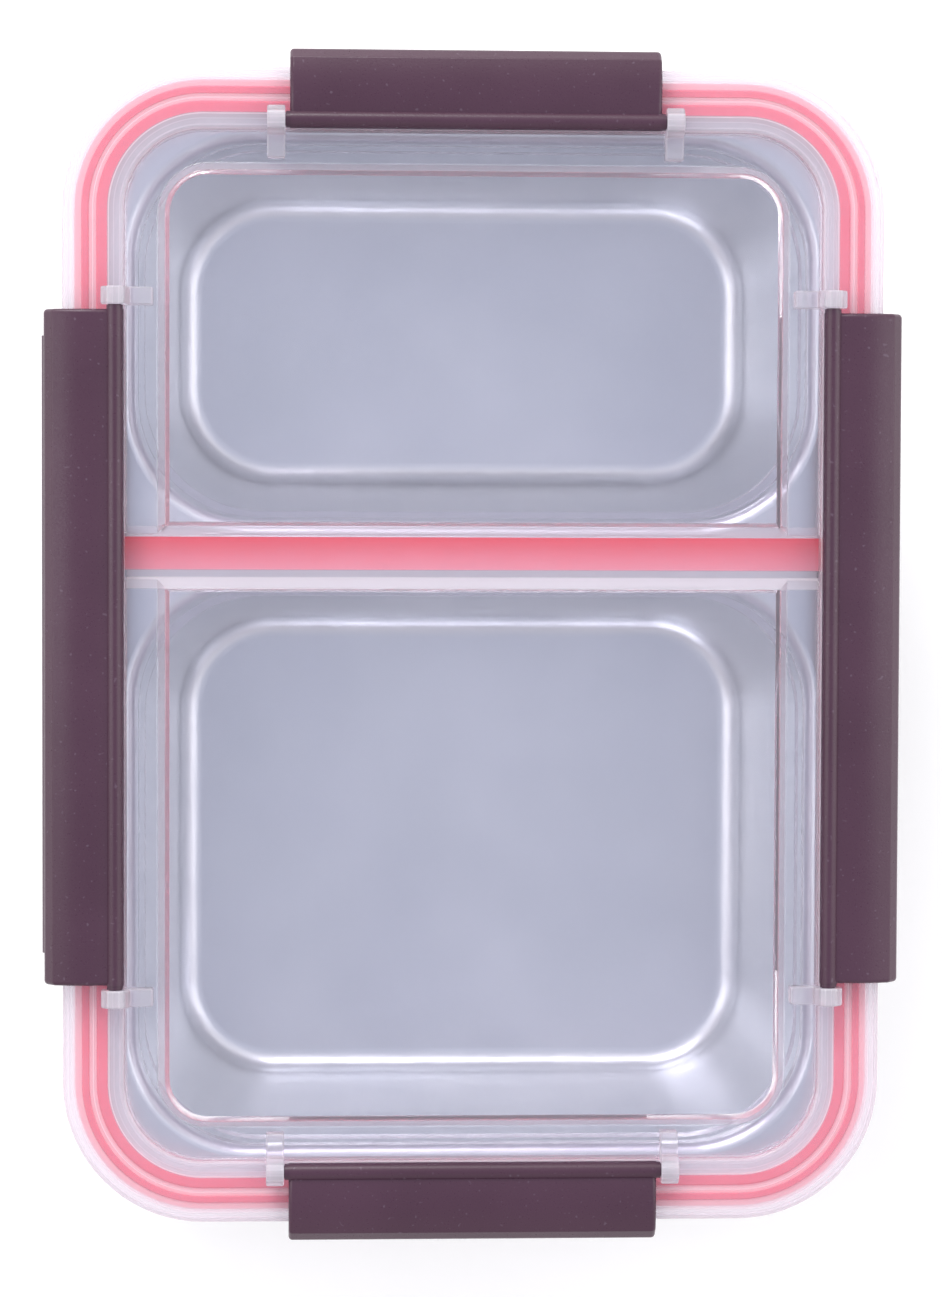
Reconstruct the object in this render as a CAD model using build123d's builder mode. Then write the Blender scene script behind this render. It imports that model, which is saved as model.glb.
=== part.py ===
"""A two-compartment steel lunch box with a clear lid, silicone seals and four snap latches.

The box lies flat. +Z points up through the lid, X is across its width and Y along its
length, with the smaller compartment towards +Y. The origin is on the surface that the box
rests on, under the middle of the lid. The lid's outline is the reference for every part:
an inset is a distance inwards from it.
"""

import os
from math import atan, cos, degrees

from build123d import *

os.makedirs("parts", exist_ok=True)

# Lid outline
LID_WIDTH = 160.0
LID_LENGTH = 225.0
LID_CORNER = 27.5

# Heights above the resting surface
FLANGE_TOP = 50.0
RIM_TOP = 55.8
WELL_TOP = 53.6
WINDOW_TOP = 55.6

# Steel tray
SHEET = 0.7
WALL_INSET = 13.6
WALL_RUN = 8.4
MOUTH_CORNER = 23.0
FLOOR_CORNER = 19.0
LIP_RADIUS = 2.5
FLOOR_RADIUS = 4.5
DIVIDER_Y = 18.4
DIVIDER_WIDTH = 12.0
BEAD_INSET = 3.9
BEAD_RADIUS = 1.3

# Clear lid
RIM_THICKNESS = 1.8
PLATE_THICKNESS = 1.6
SKIRT_THICKNESS = 2.0
SKIRT_BOTTOM = FLANGE_TOP - 1.9
CHANNEL_WALL_INSET = 9.0
WELL_INSET = 12.0
WINDOW_INSET = 18.3
WINDOW_CORNER = 10.0
WINDOW_SLOPE = 1.6
VALLEY_DEPTH = 0.6
VALLEY_LOW_EDGE = -4.6
VALLEY_HIGH_EDGE = 3.3
STOP_GAP = 0.4
PLUG_GAP = 1.0
PLUG_THICKNESS = 1.2
PLUG_BOTTOM = FLANGE_TOP - 3.0
NOTCH_TOP = RIM_TOP - 4.4
NOTCH_MARGIN = 2.0
NOTCH_DEPTH = SKIRT_THICKNESS + 0.2
RIM_EDGE_RADIUS = 0.8
STEP_EDGE_RADIUS = 0.5
SKIRT_EDGE_RADIUS = 0.4

# Silicone seals
SEAL_OUTER_INSET = 2.3
SEAL_INNER_INSET = 8.8
SEAL_BODY_BOTTOM = FLANGE_TOP + 1.2
SEAL_PAD_RISE = 0.5
SEAL_EDGE_RADIUS = 0.4
SEAL_LIP_FLARE = 0.3
SEAL_LIP_TAPER = 0.2
BAR_WIDTH = 6.4
BAR_END_INSET = 9.3
BAR_RIB = 1.1
BAR_FIT = 0.1
BAR_END_RADIUS = 0.8
BAR_EDGE_RADIUS = 0.5

# Latches: places are (outwards from the lid's edge, upwards from the rim's top)
LONG_LATCH = 131.0
SHORT_LATCH = 72.0
HINGE_OUT = -10.3
HINGE_UP = 2.1
BARREL_RADIUS = 1.75
PIN_RADIUS = 1.3
PIN_CLEARANCE = 0.05
PIN_LENGTH = 3.2
STUB_RADIUS = 1.6
STUB_LENGTH = 0.75
HOOK_OUT = -2.2
HOOK_UP = -9.3
HOOK_RADIUS = 1.1
HOOK_END_MARGIN = 9.0
HOOK_WEB_DEPTH = 0.4
LATCH_FACE = 3.5
FLAP_THICKNESS = 2.3
CROWN_MIDDLE_UP = 3.5
CROWN_EDGE_UP = 3.0
CHAMFER_WIDTH = 1.8
CHAMFER_DROP = 2.0
LATCH_FALL = -16.0
LIP_REACH = 2.5
LIP_BEND_UP = -11.0
LIP_SHOULDER = (4.9, -13.6)
LIP_POINT = (4.2, -14.9)
LIP_HEEL = (2.6, -14.4)
FLAP_FOOT_UP = -11.6
LIP_END_MARGIN = 4.5
LIP_CORNER = 1.2
END_RADIUS = 0.8
LUG_THICKNESS = 3.5
LUG_BOSS_WIDTH = 5.4
LUG_BOSS_UP = 2.6
LUG_CROWN_RADIUS = 2.9
LUG_TAIL_OUT = -17.6
LUG_TAIL_UP = 1.5
LUG_TAIL_RADIUS = 0.6
LUG_SINK = 0.5
LUG_TOE_RISE = 1.7
LUG_EDGE_RADIUS = 0.4
LUG_GAP = 0.9
SOCKET_DEPTH = 2.6

half_width = LID_WIDTH / 2
half_length = LID_LENGTH / 2

# Each latch: the direction it faces, in degrees from +X, its distance from the origin
# to the lid's edge, and its length
LATCHES = {
    "latch_right": (0, half_width, LONG_LATCH),
    "latch_rear": (90, half_length, SHORT_LATCH),
    "latch_left": (180, half_width, LONG_LATCH),
    "latch_front": (270, half_length, SHORT_LATCH),
}

# Each compartment's mouth, as its lowest and highest Y at the flange's top face
COMPARTMENTS = {
    "small": (DIVIDER_Y + DIVIDER_WIDTH / 2, half_length - WALL_INSET),
    "large": (-(half_length - WALL_INSET), DIVIDER_Y - DIVIDER_WIDTH / 2),
}


def outline(inset, height):
    """The lid's outline, drawn inwards by an inset, as a face at a height."""
    with BuildSketch(Plane.XY.offset(height)) as face:
        RectangleRounded(LID_WIDTH - 2 * inset, LID_LENGTH - 2 * inset, LID_CORNER - inset)
    return face.sketch


def band(outer_inset, inner_inset, bottom, top):
    """A ring that follows the lid's outline, between two insets and two heights."""
    with BuildSketch(Plane.XY.offset(bottom)) as ring:
        add(outline(outer_inset, 0))
        add(outline(inner_inset, 0), mode=Mode.SUBTRACT)
    return extrude(ring.sketch, amount=top - bottom, mode=Mode.PRIVATE)


def mouth(low_y, high_y, spread, height, corner=MOUTH_CORNER):
    """A compartment's mouth, made wider on every side by a spread, as a face at a height."""
    width = LID_WIDTH - 2 * WALL_INSET + 2 * spread
    with BuildSketch(Plane.XY.offset(height)) as face:
        with Locations((0, (low_y + high_y) / 2)):
            RectangleRounded(width, high_y - low_y + 2 * spread, corner)
    return face.sketch


def hollow(low_y, high_y, spread, floor):
    """A compartment's drafted hollow down to a floor, made wider on every side by a spread."""
    run = wall_slope * (FLANGE_TOP - floor)
    top = mouth(low_y, high_y, spread, FLANGE_TOP, MOUTH_CORNER + spread)
    base = mouth(low_y, high_y, spread - run, floor, FLOOR_CORNER + spread)
    return loft([top, base], ruled=True, mode=Mode.PRIVATE)


def outline_path(inset, height):
    """The lid's inset outline as a closed path from the middle of its +X side."""
    x, y = half_width - inset, half_length - inset
    radius = LID_CORNER - inset
    with BuildLine(Plane.XY.offset(height)) as path:
        Line((x, 0), (x, y - radius))
        RadiusArc((x, y - radius), (x - radius, y), -radius)
        Line((x - radius, y), (radius - x, y))
        RadiusArc((radius - x, y), (-x, y - radius), -radius)
        Line((-x, y - radius), (-x, radius - y))
        RadiusArc((-x, radius - y), (radius - x, -y), -radius)
        Line((radius - x, -y), (x - radius, -y))
        RadiusArc((x - radius, -y), (x, radius - y), -radius)
        Line((x, radius - y), (x, 0))
    return path.wire()


def side_plane(angle, distance, along=0.0):
    """A plane across a latch: x is outwards from the lid's edge, y is upwards from the rim."""
    outwards = Vector(1, 0, 0).rotate(Axis.Z, angle)
    lengthwise = outwards.cross(Vector(0, 0, 1))
    origin = outwards * distance + lengthwise * along + Vector(0, 0, RIM_TOP)
    return Plane(origin=origin, x_dir=outwards, z_dir=lengthwise)


def mouth_edges(part, height):
    """The edges around the holes in a part's level faces at a height."""
    level = part.faces().filter_by(Plane.XY).filter_by_position(Axis.Z, height - 0.01, height + 0.01)
    return [edge for face in level for wire in face.inner_wires() for edge in wire.edges()]


def level_edges(part, height):
    """The edges that lie at a height."""
    return part.edges().filter_by_position(Axis.Z, height - 0.01, height + 0.01)


# Steel tray: one pressed sheet with two drafted wells, a flange and a rolled edge
wall_slope = WALL_RUN / (FLANGE_TOP - SHEET)
sheet_across_wall = SHEET / cos(atan(wall_slope))

with BuildPart() as cavities:
    for low_y, high_y in COMPARTMENTS.values():
        add(hollow(low_y, high_y, 0, SHEET))
    fillet(cavities.faces().group_by(Axis.Z)[0].edges(), FLOOR_RADIUS)

with BuildPart() as tray:
    for low_y, high_y in COMPARTMENTS.values():
        add(hollow(low_y, high_y, sheet_across_wall, 0))
    fillet(tray.faces().group_by(Axis.Z)[0].edges(), FLOOR_RADIUS + SHEET)
    extrude(outline(BEAD_INSET, FLANGE_TOP - SHEET), amount=SHEET)
    fillet(mouth_edges(tray.part, FLANGE_TOP - SHEET), LIP_RADIUS - SHEET)
    add(cavities.part, mode=Mode.SUBTRACT)
    fillet(mouth_edges(tray.part, FLANGE_TOP), LIP_RADIUS)
    # The rolled edge is a curl of the same sheet, open towards the wall
    bead_centre = (half_width - BEAD_INSET, FLANGE_TOP - BEAD_RADIUS)
    with BuildSketch(Plane.XZ) as curl:
        with BuildLine():
            inner = CenterArc(bead_centre, BEAD_RADIUS - SHEET, 90, -270)
            outer = CenterArc(bead_centre, BEAD_RADIUS, 90, -270)
            Line(inner @ 0, outer @ 0)
            Line(inner @ 1, outer @ 1)
        make_face()
    sweep(curl.sketch, path=outline_path(BEAD_INSET, FLANGE_TOP - BEAD_RADIUS))
tray.part.label = "tray"
export_step(tray.part, "parts/tray.step")


# Clear lid: a rim over the flange, a well inside it, a raised window over each compartment and
# a shallow valley between them, whose sides carry on the windows' slopes
window_rise = WINDOW_TOP - WELL_TOP
window_taper = degrees(atan(WINDOW_SLOPE / window_rise))
valley_slope = VALLEY_DEPTH * WINDOW_SLOPE / window_rise
valley_low = DIVIDER_Y + VALLEY_LOW_EDGE
valley_high = DIVIDER_Y + VALLEY_HIGH_EDGE
WINDOWS = {
    "small": (valley_high + valley_slope, half_length - WINDOW_INSET),
    "large": (-(half_length - WINDOW_INSET), valley_low - valley_slope),
}
well_bottom = WELL_TOP - PLATE_THICKNESS
rim_bottom = RIM_TOP - RIM_THICKNESS


def window(low_y, high_y, inset, height):
    """The foot of a raised window, drawn inwards by an inset, as a face at a height."""
    width = LID_WIDTH - 2 * WINDOW_INSET - 2 * inset
    with BuildSketch(Plane.XY.offset(height)) as face:
        with Locations((0, (low_y + high_y) / 2)):
            Rectangle(width, high_y - low_y - 2 * inset)
        away_from_divider = face.vertices().sort_by(lambda corner: abs(corner.Y - DIVIDER_Y))[2:]
        fillet(away_from_divider, WINDOW_CORNER - inset)
    return face.sketch


def lug_section():
    """A boss around the pin, and a lower tail that reaches into the well."""
    boss_half = LUG_BOSS_WIDTH / 2
    boss_inner, boss_outer = HINGE_OUT - boss_half, HINGE_OUT + boss_half
    foot = WELL_TOP - RIM_TOP - LUG_SINK
    with BuildSketch() as section:
        with BuildLine():
            crown = RadiusArc((boss_outer, LUG_BOSS_UP), (boss_inner, LUG_BOSS_UP), -LUG_CROWN_RADIUS)
            Polyline(
                crown @ 1,
                (boss_inner - 0.1, LUG_TAIL_UP),
                (LUG_TAIL_OUT, LUG_TAIL_UP - 0.2),
                (LUG_TAIL_OUT, foot),
                (boss_outer, foot + LUG_TOE_RISE),
                crown @ 0,
            )
        make_face()
        tail_end = section.vertices().sort_by_distance((LUG_TAIL_OUT, LUG_TAIL_UP - 0.2))[0]
        fillet(tail_end, LUG_TAIL_RADIUS)
    return section.sketch


with BuildPart() as lid:
    add(band(0, WELL_INSET, rim_bottom, RIM_TOP))
    add(band(0, SKIRT_THICKNESS, SKIRT_BOTTOM, RIM_TOP))
    add(band(CHANNEL_WALL_INSET, WELL_INSET, FLANGE_TOP + STOP_GAP, RIM_TOP))
    extrude(outline(WELL_INSET, well_bottom), amount=PLATE_THICKNESS)
    for low_y, high_y in WINDOWS.values():
        extrude(window(low_y, high_y, 0, WELL_TOP), amount=window_rise, taper=window_taper)
        extrude(
            window(low_y, high_y, PLATE_THICKNESS / 2, well_bottom),
            amount=window_rise,
            taper=window_taper,
            mode=Mode.SUBTRACT,
        )
    with BuildSketch(Plane.YZ):
        with BuildLine():
            Polyline(
                (valley_low - valley_slope, WELL_TOP + 1),
                (valley_low - valley_slope, WELL_TOP),
                (valley_low, WELL_TOP - VALLEY_DEPTH),
                (valley_high, WELL_TOP - VALLEY_DEPTH),
                (valley_high + valley_slope, WELL_TOP),
                (valley_high + valley_slope, WELL_TOP + 1),
                close=True,
            )
        make_face()
    extrude(amount=half_width - WELL_INSET, both=True, mode=Mode.SUBTRACT)
    # The divider's seal runs through the channel's inner wall to the ring
    with BuildSketch(Plane.XY.offset(FLANGE_TOP)):
        with Locations((0, DIVIDER_Y)):
            Rectangle(LID_WIDTH - 2 * CHANNEL_WALL_INSET + 1, BAR_WIDTH + 2 * BAR_FIT)
    extrude(amount=well_bottom - FLANGE_TOP, mode=Mode.SUBTRACT)
    along_divider = level_edges(lid.part, WELL_TOP).filter_by(Axis.X).filter_by_position(
        Axis.Y, valley_low - 1, valley_high + 1
    )
    fillet(level_edges(lid.part, WELL_TOP) - along_divider, STEP_EDGE_RADIUS)
    fillet(level_edges(lid.part, WINDOW_TOP), STEP_EDGE_RADIUS)
    fillet(level_edges(lid.part, RIM_TOP), RIM_EDGE_RADIUS)
    fillet(level_edges(lid.part, SKIRT_BOTTOM), SKIRT_EDGE_RADIUS)
    # A plug rib stands inside each compartment's mouth
    for low_y, high_y in COMPARTMENTS.values():
        with BuildSketch(Plane.XY.offset(PLUG_BOTTOM)) as plug:
            add(mouth(low_y, high_y, -PLUG_GAP, 0))
            add(mouth(low_y, high_y, -PLUG_GAP - PLUG_THICKNESS, 0), mode=Mode.SUBTRACT)
        extrude(plug.sketch, amount=well_bottom - PLUG_BOTTOM)
    # Two ribs hold the divider's seal between them
    for side in (-1, 1):
        rib_y = DIVIDER_Y + side * (BAR_WIDTH / 2 + BAR_FIT + BAR_RIB / 2)
        with BuildSketch(Plane.XY.offset(FLANGE_TOP + STOP_GAP)):
            with Locations((0, rib_y)):
                Rectangle(LID_WIDTH - 2 * CHANNEL_WALL_INSET - 1, BAR_RIB)
        extrude(amount=well_bottom - FLANGE_TOP - STOP_GAP)
    # Each latch has a notch in the skirt for its hook, and two lugs for its pins
    for angle, distance, length in LATCHES.values():
        with BuildSketch(side_plane(angle, distance)):
            with BuildLine():
                Polyline(
                    (1, NOTCH_TOP - RIM_TOP),
                    (-NOTCH_DEPTH, NOTCH_TOP - RIM_TOP),
                    (-NOTCH_DEPTH, SKIRT_BOTTOM - RIM_TOP - 1),
                    (1, SKIRT_BOTTOM - RIM_TOP - 1),
                    close=True,
                )
            make_face()
        notch = length - 2 * HOOK_END_MARGIN + 2 * NOTCH_MARGIN
        extrude(amount=notch / 2, both=True, mode=Mode.SUBTRACT)
        for end in (-1, 1):
            along = end * (length / 2 + LUG_GAP + LUG_THICKNESS / 2)
            with BuildPart():
                with BuildSketch(side_plane(angle, distance, along)):
                    add(lug_section())
                lug = extrude(amount=LUG_THICKNESS / 2, both=True)
                outer_edges = lug.edges().filter_by_position(Axis.Z, RIM_TOP + 0.3, RIM_TOP + 9)
                fillet(outer_edges, LUG_EDGE_RADIUS)
            mouth_of_socket = end * (length / 2 + LUG_GAP)
            with BuildSketch(side_plane(angle, distance, mouth_of_socket)):
                with Locations((HINGE_OUT, HINGE_UP)):
                    Circle(PIN_RADIUS + PIN_CLEARANCE)
            extrude(amount=end * SOCKET_DEPTH, mode=Mode.SUBTRACT)
lid.part.label = "lid"
export_step(lid.part, "parts/lid.step")

# Silicone seals: a ring with two lips under the rim, and a bar under the lid at the divider
# Each of the ring's lips, as its inset and its width
SEAL_LIPS = ((4.4, 1.1), (7.7, 1.8))
seal_top = rim_bottom - SEAL_PAD_RISE
seal_middle = half_width - (SEAL_OUTER_INSET + SEAL_INNER_INSET) / 2
seal_half = (SEAL_INNER_INSET - SEAL_OUTER_INSET) / 2
with BuildPart() as seal_ring:
    with BuildSketch(Plane.XZ) as seal_section:
        with Locations((seal_middle, (SEAL_BODY_BOTTOM + seal_top) / 2)):
            RectangleRounded(2 * seal_half, seal_top - SEAL_BODY_BOTTOM, SEAL_EDGE_RADIUS)
        # Raised pads press on the rim, and tapered lips press on the flange
        for inset, width in SEAL_LIPS:
            place = half_width - inset
            root_half = width / 2 + SEAL_LIP_FLARE
            tip_half = width / 2 - SEAL_LIP_TAPER
            with BuildLine():
                Polyline(
                    (place - root_half, SEAL_BODY_BOTTOM + 0.2),
                    (place - tip_half, FLANGE_TOP),
                    (place + tip_half, FLANGE_TOP),
                    (place + root_half, SEAL_BODY_BOTTOM + 0.2),
                    close=True,
                )
            make_face()
            with Locations((place, seal_top)):
                Rectangle(width, 2 * SEAL_PAD_RISE)
    sweep(seal_section.sketch, path=outline_path(half_width - seal_middle, FLANGE_TOP))
seal_ring.part.label = "seal_ring"
export_step(seal_ring.part, "parts/seal_ring.step")

bar_length = LID_WIDTH - 2 * BAR_END_INSET
with BuildPart() as divider_seal:
    with BuildSketch(Plane.XY.offset(FLANGE_TOP)):
        with Locations((0, DIVIDER_Y)):
            RectangleRounded(bar_length, BAR_WIDTH, BAR_END_RADIUS)
    extrude(amount=well_bottom - FLANGE_TOP)
    fillet(divider_seal.edges().group_by(Axis.Z)[0], BAR_EDGE_RADIUS)
divider_seal.part.label = "divider_seal"
export_step(divider_seal.part, "parts/divider_seal.step")

# Latches: a barrel with a moulded pin at each end, a cover plate, and a flap with a hook
flap_inside = LATCH_FACE - FLAP_THICKNESS
plate_under = HINGE_UP - BARREL_RADIUS
crease_out = LATCH_FACE - CHAMFER_WIDTH
crease_up = CROWN_EDGE_UP - 0.4
groove_out = HINGE_OUT + 1.0

# The corners of a latch's section that are rounded, each with its radius
SECTION_CORNERS = {
    (crease_out, crease_up): 0.6,
    (LATCH_FACE, crease_up - CHAMFER_DROP): 1.5,
    (LATCH_FACE, LIP_BEND_UP): 3.0,
    LIP_SHOULDER: 0.7,
    LIP_POINT: 0.7,
    LIP_HEEL: 0.7,
    (flap_inside, FLAP_FOOT_UP): 3.0,
    (flap_inside, plate_under): 1.0,
}


def latch_section():
    """The barrel, the cover plate's crowned top, and the flap with its flared finger lip."""
    with BuildSketch() as section:
        with BuildLine():
            crown = ThreePointArc(
                (groove_out, CROWN_EDGE_UP),
                ((groove_out + crease_out) / 2, CROWN_MIDDLE_UP),
                (crease_out, crease_up),
            )
            Polyline(
                crown @ 1,
                (LATCH_FACE, crease_up - CHAMFER_DROP),
                (LATCH_FACE, LIP_BEND_UP),
                LIP_SHOULDER,
                LIP_POINT,
                LIP_HEEL,
                (flap_inside, FLAP_FOOT_UP),
                (flap_inside, plate_under),
                (HINGE_OUT, plate_under),
                (HINGE_OUT, HINGE_UP),
                crown @ 0,
            )
        make_face()
        for corner, radius in SECTION_CORNERS.items():
            fillet(section.vertices().sort_by_distance(corner)[0], radius)
        with Locations((HINGE_OUT, HINGE_UP)):
            Circle(BARREL_RADIUS)
    return section.sketch


def hook_section():
    """A rounded bead on a web that stands out of the flap's inner face."""
    under = HOOK_UP - HOOK_RADIUS
    with BuildSketch() as section:
        with Locations((HOOK_OUT, HOOK_UP)):
            Circle(HOOK_RADIUS)
        with BuildLine():
            Polyline(
                (HOOK_OUT, under),
                (flap_inside + 1, under - HOOK_WEB_DEPTH),
                (flap_inside + 1, HOOK_UP + 2 * HOOK_WEB_DEPTH),
                (HOOK_OUT + 0.6, HOOK_UP + 0.3),
                (HOOK_OUT, HOOK_UP),
                close=True,
            )
        make_face()
    return section.sketch


def latch_plan(length):
    """The latch from above: the finger lip is shorter than the cover plate."""
    lip_length = length - 2 * LIP_END_MARGIN
    inner_out = HINGE_OUT - BARREL_RADIUS - 1
    with BuildSketch() as plan:
        with Locations(((inner_out + LATCH_FACE) / 2, 0)):
            Rectangle(LATCH_FACE - inner_out, length)
        with Locations((LATCH_FACE, 0)):
            RectangleRounded(2 * LIP_REACH, lip_length, LIP_CORNER)
    return plan.sketch


def outer_end_edges(part, middle, length):
    """The edges at a latch's two ends, over its cover plate and down its outer face."""
    chosen = []
    for face in part.faces().filter_by(middle):
        if abs(middle.to_local_coords(face.center()).Z) < length / 2 - 0.1:
            continue
        for edge in face.edges():
            place = middle.to_local_coords(edge.center())
            over_plate = place.Y > HINGE_UP and place.X > groove_out
            if over_plate or place.X > crease_out:
                chosen.append(edge)
    return [edge for edge in chosen if middle.to_local_coords(edge.center()).Y > LIP_BEND_UP]


for name, (angle, distance, length) in LATCHES.items():
    middle = side_plane(angle, distance)
    from_above = Plane(origin=middle.origin + Vector(0, 0, LATCH_FALL), x_dir=middle.x_dir)
    with BuildPart() as latch:
        with BuildSketch(middle):
            add(latch_section())
        extrude(amount=length / 2, both=True)
        with BuildSketch(from_above):
            add(latch_plan(length))
        extrude(amount=-2 * LATCH_FALL, mode=Mode.INTERSECT)
        fillet(outer_end_edges(latch.part, middle, length), END_RADIUS)
        with BuildSketch(middle):
            add(hook_section())
        extrude(amount=length / 2 - HOOK_END_MARGIN, both=True)
        for end in (-1, 1):
            with BuildSketch(side_plane(angle, distance, end * length / 2)):
                with Locations((HINGE_OUT, HINGE_UP)):
                    Circle(PIN_RADIUS)
            extrude(amount=end * PIN_LENGTH)
            with BuildSketch(side_plane(angle, distance, end * (length / 2 - END_RADIUS))):
                with Locations((HINGE_OUT, HINGE_UP)):
                    Circle(STUB_RADIUS)
            extrude(amount=end * (END_RADIUS + STUB_LENGTH))
    latch.part.label = name
    export_step(latch.part, f"parts/{name}.step")
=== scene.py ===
"""A steel lunch box with a clear lid, seen from straight above its lid in a pale studio."""

from math import radians, tan

import bpy
from mathutils import Matrix, Vector


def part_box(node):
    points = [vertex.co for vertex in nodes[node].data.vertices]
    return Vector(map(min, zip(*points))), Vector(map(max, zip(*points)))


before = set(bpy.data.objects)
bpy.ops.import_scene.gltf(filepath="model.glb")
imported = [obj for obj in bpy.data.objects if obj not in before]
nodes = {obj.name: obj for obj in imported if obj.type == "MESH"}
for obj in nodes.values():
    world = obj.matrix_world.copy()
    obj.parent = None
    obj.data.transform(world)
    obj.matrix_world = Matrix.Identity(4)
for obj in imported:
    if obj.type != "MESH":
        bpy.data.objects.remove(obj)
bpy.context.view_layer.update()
scene = bpy.context.scene

MM = 0.001
lid_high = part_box("lid")[1]
bar_low, bar_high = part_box("divider_seal")
HALF_WIDTH = lid_high.x
HALF_LENGTH = lid_high.y
LID_CORNER = 27.5 * MM
RIM_TOP = 55.8 * MM

# Where the lid is milky or carries a painted highlight between two insets from its outline, as the
# low and high inset and the softness of both edges in millimetres, and then how strong it is. The
# wide rings lie where the seal's pads don't touch the lid, and the narrow ones are painted
# highlight lines along its steps.
MILK_AND_HIGHLIGHT_RINGS = [
    (-1.0, 2.3, 0.12, 0.46),
    (2.3, 3.75, 0.12, 0.30),
    (0.95, 1.2, 0.12, 0.35),
    (1.95, 2.2, 0.10, 0.35),
    (5.2, 6.6, 0.12, 0.34),
    (5.85, 6.05, 0.08, 0.40),
    (8.75, 12.0, 0.12, 0.42),
    (8.9, 9.1, 0.08, 0.35),
    (9.9, 10.05, 0.08, 0.18),
    (11.0, 11.3, 0.10, 0.22),
]
# The same along Y over the divider: the near slopes, the valley's floor and the far slopes. The
# near slopes are painted bright as a highlight where they face the light, and the far slopes dimmer
# as painted shade.
VALLEY_MILK_AND_PAINTED_LIGHT = [
    (11.5, 13.75, 0.12, 0.55),
    (13.75, 15.2, 0.10, 0.30),
    (21.6, 23.7, 0.12, 0.16),
]
# How strong the painted highlight on the lid's steep faces is, and how milky its lugs and the rest
# of its upper side are
STEEP_PAINTED_HIGHLIGHT = 0.26
LUG_MILK = 0.30
UPPER_MILK = 0.06
# Insets in millimetres: the well's edge, with its softness, and the ring seal's two sides
WELL_INSET = 12.3
WELL_SOFT = 0.1
SEAL_OUTER_INSET = 2.2
SEAL_INNER_INSET = 8.7
SEAL_SOFT = 0.3

# Colours
STEEL_DARK = (0.62, 0.64, 0.675)
STEEL_LIGHT = (0.70, 0.715, 0.745)
CLEAR_DEEP = (0.955, 0.94, 0.975)
CLEAR_PALE = (0.975, 0.96, 0.985)
# The lid's milky colour, which also draws its painted highlight lines
LID_MILK_AND_HIGHLIGHT = (0.90, 0.86, 0.92)
LID_MILK_AND_HIGHLIGHT_OVER_SEAL = (0.97, 0.84, 0.88)
LIGHT_THROUGH_LID = (0.88, 0.86, 0.90)
LIGHT_THROUGH_LUG = (0.66, 0.63, 0.69)
RING_DEEP = (0.94, 0.23, 0.29)
RING_PALE = (0.96, 0.27, 0.33)
BAR_DEEP = (0.88, 0.07, 0.10)
# The bar's paler colour is a painted highlight along its near side
BAR_PAINTED_HIGHLIGHT = (0.95, 0.36, 0.42)
PLUM_DEEP = (0.058, 0.022, 0.041)
PLUM_PALE = (0.068, 0.027, 0.049)
DUST = (0.22, 0.17, 0.22)
PAPER_DARK = (0.975, 0.96, 0.94)
PAPER_LIGHT = (0.99, 0.975, 0.955)
PAPER_GLOW = (1.0, 0.97, 0.95)

# The range that a noise texture's values usually lie in
NOISE_LOW = 0.3
NOISE_HIGH = 0.7


# ---------------------------------------------------------------- node helpers

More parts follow.
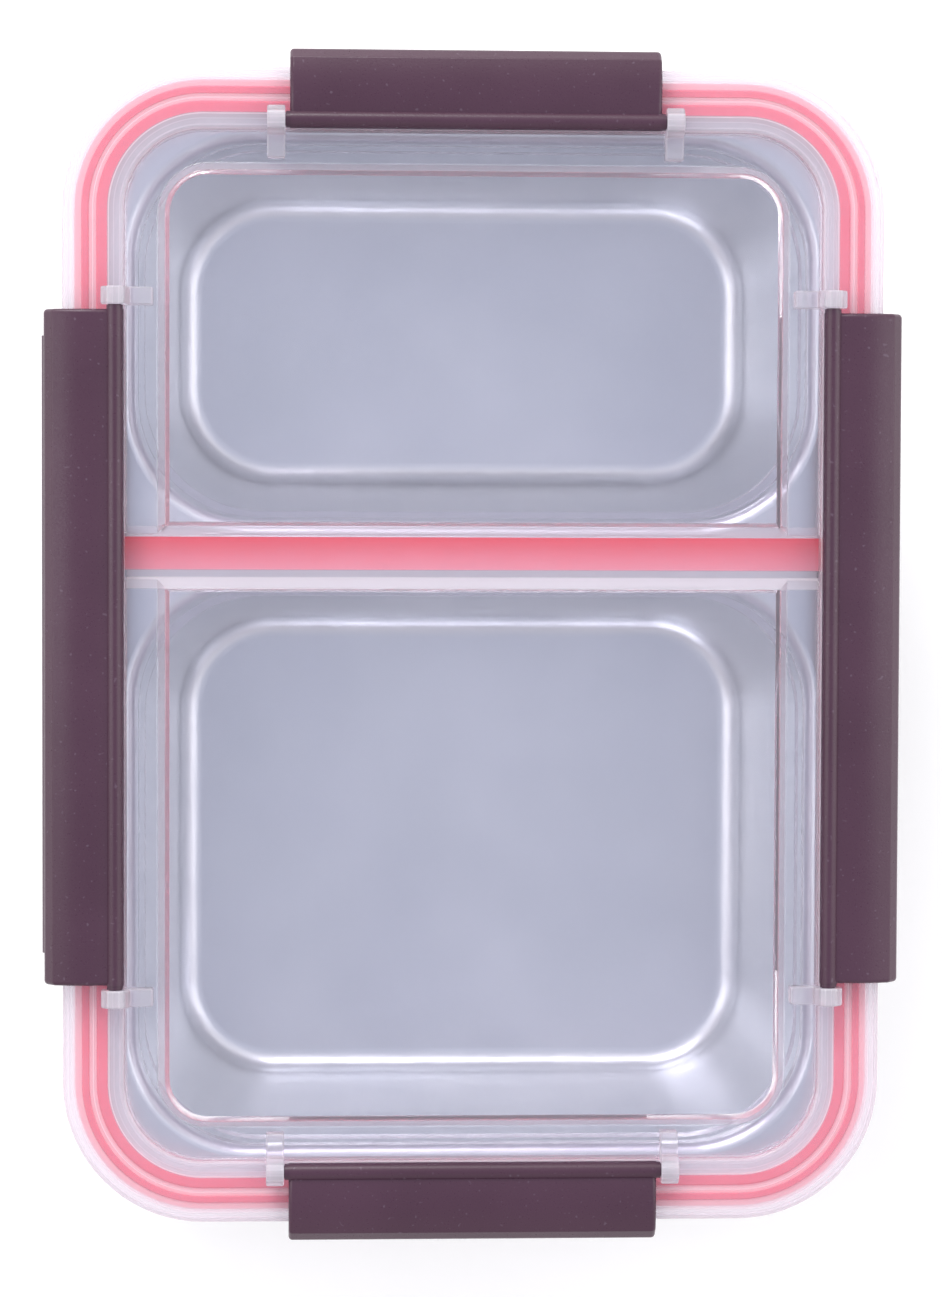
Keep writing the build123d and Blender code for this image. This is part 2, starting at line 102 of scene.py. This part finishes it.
class Nodes:
    """A material's node tree, with short calls for the nodes used here."""

    def __init__(self, name):
        self.material = bpy.data.materials.new(name)
        self.material.use_nodes = True
        self.tree = self.material.node_tree
        self.tree.nodes.clear()
        self.output = self.tree.nodes.new("ShaderNodeOutputMaterial")

    def node(self, kind, **settings):
        made = self.tree.nodes.new(kind)
        for key, value in settings.items():
            setattr(made, key, value)
        return made

    def link(self, source, target):
        self.tree.links.new(source, target)

    def position(self):
        """Where a point is in the box's own frame, in metres."""
        return self.node("ShaderNodeTexCoord").outputs["Object"]

    def axes(self, vector):
        split = self.node("ShaderNodeSeparateXYZ")
        self.link(vector, split.inputs[0])
        return split.outputs

    def maths(self, operation, first, second=None, clamp=False):
        made = self.node("ShaderNodeMath", operation=operation, use_clamp=clamp)
        for place, value in enumerate((first, second)):
            if value is None:
                continue
            if isinstance(value, (int, float)):
                made.inputs[place].default_value = value
            else:
                self.link(value, made.inputs[place])
        return made.outputs[0]

    def inset(self):
        """How far a point lies inwards from the lid's rounded outline, in metres."""
        x, y, _ = self.axes(self.position())
        past_x = self.maths("SUBTRACT", self.maths("ABSOLUTE", x), HALF_WIDTH - LID_CORNER)
        past_y = self.maths("SUBTRACT", self.maths("ABSOLUTE", y), HALF_LENGTH - LID_CORNER)
        squares = [
            self.maths("POWER", self.maths("MAXIMUM", past, 0.0), 2.0) for past in (past_x, past_y)
        ]
        outside = self.maths("SQRT", self.maths("ADD", *squares))
        inside = self.maths("MINIMUM", self.maths("MAXIMUM", past_x, past_y), 0.0)
        return self.maths("SUBTRACT", LID_CORNER, self.maths("ADD", outside, inside))

    def step(self, distance, edge, soft):
        """Nothing before an edge and one after it, with a soft change. Both in millimetres."""
        return self.spread(distance, (edge - soft) * MM, (edge + soft) * MM, 0, 1)

    def ring(self, distance, low, high, soft):
        """One between two edges and nothing outside them, with soft changes. In millimetres."""
        fall = self.spread(distance, (high - soft) * MM, (high + soft) * MM, 1, 0)
        return self.maths("MULTIPLY", self.step(distance, low, soft), fall)

    def bands(self, distance, rows):
        """The sum of several weighted rings."""
        return self.total([
            (self.ring(distance, low, high, soft), weight) for low, high, soft, weight in rows
        ])

    def total(self, values):
        """The sum of weighted values, kept between nothing and one."""
        whole = self.maths("MULTIPLY", values[0][0], values[0][1])
        for value, weight in values[1:]:
            whole = self.maths("ADD", whole, self.maths("MULTIPLY", value, weight), clamp=True)
        return whole

    def scaled(self, vector, factors):
        """A vector stretched by a factor along each axis."""
        made = self.node("ShaderNodeVectorMath", operation="MULTIPLY")
        self.link(vector, made.inputs[0])
        made.inputs[1].default_value = factors
        return made.outputs[0]

    def noise(self, vector, scale, detail, rough=0.5):
        made = self.node("ShaderNodeTexNoise")
        self.link(vector, made.inputs["Vector"])
        made.inputs["Scale"].default_value = scale
        made.inputs["Detail"].default_value = detail
        made.inputs["Roughness"].default_value = rough
        return made.outputs["Fac"]

    def spread(self, value, from_low, from_high, to_low, to_high):
        """A value moved from one range to another, and kept inside the new one."""
        made = self.node("ShaderNodeMapRange")
        self.link(value, made.inputs["Value"])
        for name, number in (
            ("From Min", from_low), ("From Max", from_high), ("To Min", to_low), ("To Max", to_high)
        ):
            made.inputs[name].default_value = number
        return made.outputs["Result"]

    def vary(self, noise, low, high):
        """A noise's usual range moved to a new one."""
        return self.spread(noise, NOISE_LOW, NOISE_HIGH, low, high)

    def blend(self, share, first, second):
        """Two colours mixed by a share."""
        made = self.node("ShaderNodeMix", data_type="RGBA")
        self.link(share, made.inputs["Factor"])
        for name, colour in (("A", first), ("B", second)):
            socket = [s for s in made.inputs if s.name == name and s.type == "RGBA"][0]
            if isinstance(colour, tuple):
                socket.default_value = (*colour, 1)
            else:
                self.link(colour, socket)
        return [s for s in made.outputs if s.type == "RGBA"][0]

    def bump(self, height, strength, distance, normal=None):
        made = self.node("ShaderNodeBump")
        made.inputs["Strength"].default_value = strength
        made.inputs["Distance"].default_value = distance
        self.link(height, made.inputs["Height"])
        if normal is not None:
            self.link(normal, made.inputs["Normal"])
        return made.outputs["Normal"]

    def principled(self, **sockets):
        """A Principled shader. Numbers and colours are set on it, and anything else is linked."""
        made = self.node("ShaderNodeBsdfPrincipled")
        for name, value in sockets.items():
            socket = made.inputs[name.replace("_", " ")]
            if isinstance(value, (int, float, tuple)):
                socket.default_value = value
            else:
                self.link(value, socket)
        return made.outputs[0]

    def mix(self, share, first, second):
        """Two shaders mixed by a share."""
        made = self.node("ShaderNodeMixShader")
        if isinstance(share, (int, float)):
            made.inputs[0].default_value = share
        else:
            self.link(share, made.inputs[0])
        self.link(first, made.inputs[1])
        self.link(second, made.inputs[2])
        return made.outputs[0]

    def finish(self, shader):
        self.link(shader, self.output.inputs["Surface"])
        return self.material


# ---------------------------------------------------------------- materials

def steel():
    """Satin pressed steel: a fine even grain on the flats, and faint drawn streaks on the walls."""
    m = Nodes("pressed_steel")
    place = m.position()
    normal_z = m.axes(m.node("ShaderNodeNewGeometry").outputs["Normal"])[2]
    wall = m.spread(m.maths("ABSOLUTE", normal_z), 0.25, 0.7, 1.0, 0.0)
    grain = m.noise(place, 3600, 2, 0.6)
    cloud = m.noise(place, 28, 2)
    streaks = m.noise(m.scaled(place, (1, 1, 0.02)), 260, 2)
    streaks_on_wall = m.maths("MULTIPLY", m.maths("SUBTRACT", streaks, 0.5), wall)
    shade = m.maths("ADD", cloud, m.maths("MULTIPLY", streaks_on_wall, 0.7))
    shade = m.maths("ADD", shade, m.maths("MULTIPLY", m.maths("SUBTRACT", grain, 0.5), 0.5))
    colour = m.blend(m.vary(shade, 0, 1), STEEL_DARK, STEEL_LIGHT)
    rough = m.spread(m.maths("ADD", grain, streaks_on_wall), 0.3, 0.75, 0.33, 0.41)
    relief = m.maths("ADD", grain, m.maths("MULTIPLY", streaks_on_wall, 0.5))
    return m.finish(m.principled(
        Base_Color=colour, Metallic=1.0, Roughness=rough, Normal=m.bump(relief, 0.18, 0.02 * MM),
    ))


def clear_plastic():
    """Clear lilac-tinged plastic that lets lamps through.

    It is milky on its thick lugs and over the seal wherever the silicone doesn't touch it. Its
    steps and steep edges carry painted highlight lines, and over the divider its near slopes are
    painted brighter as lit and its far slopes dimmer as shaded. The clear rings are where the
    seal's pads press on it.
    """
    m = Nodes("clear_plastic")
    place = m.position()
    _, along, height = m.axes(place)
    inset = m.inset()
    normal_z = m.axes(m.node("ShaderNodeNewGeometry").outputs["Normal"])[2]
    # Painted highlight: the lid's steep faces are drawn milky-white as bright lines in place of
    # reflections
    steep_highlight = m.spread(m.maths("ABSOLUTE", normal_z), 0.5, 0.96, 1, 0)
    facing_up = m.spread(normal_z, 0.2, 0.6, 0, 1)
    lug = m.spread(height, RIM_TOP + 0.15 * MM, RIM_TOP + 0.6 * MM, 0, 1)
    # Milky rings over the seal, and narrow painted highlight lines along the lid's steps
    milk_and_highlight_rings = m.bands(inset, MILK_AND_HIGHLIGHT_RINGS)
    inside_well = m.step(inset, WELL_INSET, WELL_SOFT)
    # Painted light over the divider: the near slopes drawn bright as lit, the far slopes dimmer as
    # shaded
    valley_milk_and_light = m.maths("MULTIPLY", m.bands(along, VALLEY_MILK_AND_PAINTED_LIGHT), inside_well)
    milk_and_painted_light_patches = m.maths("MULTIPLY", m.maths("ADD", milk_and_highlight_rings, valley_milk_and_light), facing_up)
    # The milky look together with the painted highlights and painted light on the slopes
    haze_and_painted_light = m.total([
        (milk_and_painted_light_patches, 1.0), (steep_highlight, STEEP_PAINTED_HIGHLIGHT), (lug, LUG_MILK), (facing_up, UPPER_MILK),
    ])
    flow = m.noise(place, 38, 2)
    fine = m.noise(place, 2600, 1)
    tint = m.blend(m.vary(flow, 0, 1), CLEAR_DEEP, CLEAR_PALE)
    waves = m.maths("ADD", flow, m.maths("MULTIPLY", fine, 0.02))
    surface = m.bump(waves, 0.012, 0.6 * MM)
    glass = m.principled(
        Base_Color=tint, Transmission_Weight=1.0, IOR=1.46,
        Roughness=m.vary(fine, 0.03, 0.06), Normal=surface,
    )
    over_seal = m.ring(inset, SEAL_OUTER_INSET, SEAL_INNER_INSET, SEAL_SOFT)
    milk_and_highlight_colour = m.blend(over_seal, LID_MILK_AND_HIGHLIGHT, LID_MILK_AND_HIGHLIGHT_OVER_SEAL)
    front = m.principled(Base_Color=milk_and_highlight_colour, Roughness=0.35, Normal=surface)
    back = m.node("ShaderNodeBsdfTranslucent")
    m.link(milk_and_highlight_colour, back.inputs["Color"])
    milk_and_highlight_shader = m.mix(0.5, front, back.outputs[0])
    body = m.mix(haze_and_painted_light, glass, milk_and_highlight_shader)
    lamp_light = m.node("ShaderNodeBsdfTransparent")
    m.link(m.blend(lug, LIGHT_THROUGH_LID, LIGHT_THROUGH_LUG), lamp_light.inputs["Color"])
    path = m.node("ShaderNodeLightPath")
    lets_through = m.maths("MAXIMUM", path.outputs["Is Shadow Ray"], path.outputs["Is Diffuse Ray"])
    return m.finish(m.mix(lets_through, body, lamp_light.outputs[0]))


def silicone(name, deep, pale, highlight_span):
    """Soft matt silicone with a powdery grain, painted paler as a highlight along one side where a
    highlight span is given.
    """
    m = Nodes(name)
    place = m.position()
    cloud = m.noise(place, 90, 3)
    grain = m.noise(place, 3600, 2, 0.6)
    if highlight_span:
        low, high = highlight_span
        # Painted highlight: the bar is drawn paler towards the low-Y side of the span
        highlight_side = m.spread(m.axes(place)[1], low, high, 1, 0)
        share = m.maths("ADD", m.maths("MULTIPLY", highlight_side, 0.85), m.maths("MULTIPLY", cloud, 0.15))
    else:
        share = m.vary(cloud, 0, 1)
    return m.finish(m.principled(
        Base_Color=m.blend(share, deep, pale), Roughness=m.vary(grain, 0.42, 0.55),
        IOR=1.41, Subsurface_Weight=0.2, Subsurface_Scale=0.5,
        Subsurface_Radius=(4 * MM, 1.5 * MM, 1.5 * MM), Sheen_Weight=0.1,
        Normal=m.bump(grain, 0.2, 0.03 * MM),
    ))


def latch_plastic():
    """Satin plum-brown plastic with a fine moulded grain and a little dust."""
    m = Nodes("latch_plastic")
    place = m.position()
    cloud = m.noise(place, 45, 3)
    grain = m.noise(place, 2300, 3, 0.6)
    speck = m.spread(m.noise(place, 1300, 0), 0.76, 0.84, 0, 1)
    plain = m.blend(m.vary(cloud, 0, 1), PLUM_DEEP, PLUM_PALE)
    colour = m.blend(m.maths("MULTIPLY", speck, 0.25), plain, DUST)
    return m.finish(m.principled(
        Base_Color=colour, Roughness=m.vary(grain, 0.26, 0.38), IOR=1.45,
        Normal=m.bump(grain, 0.5, 0.05 * MM),
    ))


def studio_floor():
    """A pale matt sweep with a trace of paper grain."""
    m = Nodes("studio_floor")
    grain = m.noise(m.position(), 300, 3, 0.6)
    colour = m.blend(grain, PAPER_DARK, PAPER_LIGHT)
    return m.finish(m.principled(
        Base_Color=colour, Roughness=0.7, Specular_IOR_Level=0.2,
        Emission_Color=(*PAPER_GLOW, 1), Emission_Strength=0.12,
    ))


def paint(node_names, material):
    for name in node_names:
        slots = nodes[name].data.materials
        slots.clear()
        slots.append(material)


paint(["tray"], steel())
paint(["lid"], clear_plastic())
paint(["seal_ring"], silicone("ring_silicone", RING_DEEP, RING_PALE, None))
paint(["divider_seal"], silicone("bar_silicone", BAR_DEEP, BAR_PAINTED_HIGHLIGHT, (bar_low.y, bar_high.y)))
paint(["latch_right", "latch_rear", "latch_left", "latch_front"], latch_plastic())


# ---------------------------------------------------------------- stage, light and camera

# The sky's colour, multiplied along Z, Y and X: 0 is straight down, the front or the left, and
# 1 is straight up, the back or the right
SKY_BY_HEIGHT = [
    (0.0, (0.80, 0.79, 0.80)),
    (0.50, (1.18, 1.16, 1.16)),
    (0.88, (1.16, 1.16, 1.18)),
    (0.962, (0.62, 0.67, 0.79)),
    (1.0, (0.52, 0.58, 0.73)),
]
SKY_BY_LENGTH = [
    (0.0, (0.62, 0.60, 0.63)),
    (0.40, (0.94, 0.94, 0.94)),
    (0.7, (1.1, 1.1, 1.1)),
    (1.0, (1.0, 1.0, 1.0)),
]
SKY_BY_WIDTH = [
    (0.0, (0.72, 0.71, 0.73)),
    (0.42, (1.0, 1.0, 1.0)),
    (1.0, (1.12, 1.12, 1.12)),
]
FLOOR_HALF = 3.0
LAMP_TARGET = Vector((0, 0, 0.03))


def make_floor():
    mesh = bpy.data.meshes.new("floor")
    corners = [
        (x * FLOOR_HALF, y * FLOOR_HALF, 0) for x, y in ((-1, -1), (1, -1), (1, 1), (-1, 1))
    ]
    mesh.from_pydata(corners, [], [(0, 1, 2, 3)])
    floor = bpy.data.objects.new("floor", mesh)
    scene.collection.objects.link(floor)
    floor.data.materials.append(studio_floor())


def make_lamp(name, place, size, power):
    """A soft rectangular lamp that faces the box."""
    data = bpy.data.lights.new(name, "AREA")
    data.shape = "RECTANGLE"
    data.size, data.size_y = size
    data.energy = power
    lamp = bpy.data.objects.new(name, data)
    lamp.location = place
    towards_box = LAMP_TARGET - lamp.location
    lamp.rotation_euler = towards_box.to_track_quat("-Z", "Y").to_euler()
    scene.collection.objects.link(lamp)


def make_world():
    """A white studio: dimmer overhead, and towards the near end and the left."""
    world = bpy.data.worlds.new("studio")
    scene.world = world
    world.use_nodes = True
    tree = world.node_tree
    background = tree.nodes["Background"]
    direction = tree.nodes.new("ShaderNodeTexCoord")
    split = tree.nodes.new("ShaderNodeSeparateXYZ")
    tree.links.new(direction.outputs["Generated"], split.inputs[0])

    def ramp(source, stops):
        """Colours along one direction's component, from one side of the sky to the other."""
        scaled = tree.nodes.new("ShaderNodeMapRange")
        scaled.inputs["From Min"].default_value = -1
        scaled.inputs["From Max"].default_value = 1
        tree.links.new(source, scaled.inputs["Value"])
        made = tree.nodes.new("ShaderNodeValToRGB")
        elements = made.color_ramp.elements
        for element, (position, colour) in zip(elements, (stops[0], stops[-1])):
            element.position = position
            element.color = (*colour, 1)
        for position, colour in stops[1:-1]:
            elements.new(position).color = (*colour, 1)
        tree.links.new(scaled.outputs["Result"], made.inputs[0])
        return made.outputs[0]

    by_height = ramp(split.outputs["Z"], SKY_BY_HEIGHT)
    by_length = ramp(split.outputs["Y"], SKY_BY_LENGTH)
    by_width = ramp(split.outputs["X"], SKY_BY_WIDTH)

    def product(first, second):
        """Two colours multiplied together."""
        made = tree.nodes.new("ShaderNodeMix")
        made.data_type = "RGBA"
        made.blend_type = "MULTIPLY"
        made.inputs["Factor"].default_value = 1.0
        colours = [socket for socket in made.inputs if socket.type == "RGBA"]
        tree.links.new(first, colours[0])
        tree.links.new(second, colours[1])
        return [socket for socket in made.outputs if socket.type == "RGBA"][0]

    whole = product(product(by_height, by_length), by_width)
    tree.links.new(whole, background.inputs["Color"])
    background.inputs["Strength"].default_value = 1.0


# The picture's frame at the height of the lid's rim, and where the camera stands
FRAME_HEIGHT = 0.2530
CAMERA_DISTANCE = 0.7007
VIEW_LEFT = radians(2.9)
VIEW_UP = radians(2.39)
VIEW_ROLL = radians(0.2)
AIM = Vector((-0.0006, 0.0, RIM_TOP))


def make_camera():
    data = bpy.data.cameras.new("camera")
    data.sensor_fit = "VERTICAL"
    data.sensor_height = 36.0
    data.lens = data.sensor_height * CAMERA_DISTANCE / FRAME_HEIGHT
    camera = bpy.data.objects.new("camera", data)
    away = Vector((-tan(VIEW_LEFT), tan(VIEW_UP), 1.0)).normalized()
    highlight_side = Vector((0, 1, 0)).cross(away).normalized()
    turn = Matrix((highlight_side, away.cross(highlight_side), away)).transposed()
    turn = turn @ Matrix.Rotation(VIEW_ROLL, 3, "Z")
    camera.matrix_world = Matrix.Translation(AIM + away * CAMERA_DISTANCE) @ turn.to_4x4()
    scene.collection.objects.link(camera)
    scene.camera = camera


make_floor()
make_world()
make_lamp("key", (-0.35, 1.25, 0.80), (0.6, 0.5), 12.0)
make_lamp("left_strip", (-1.0, 0.05, 0.88), (0.3, 1.2), 3.2)
make_lamp("right_strip", (1.0, 0.05, 0.88), (0.3, 1.2), 2.4)
make_camera()
scene.view_settings.view_transform = "Standard"
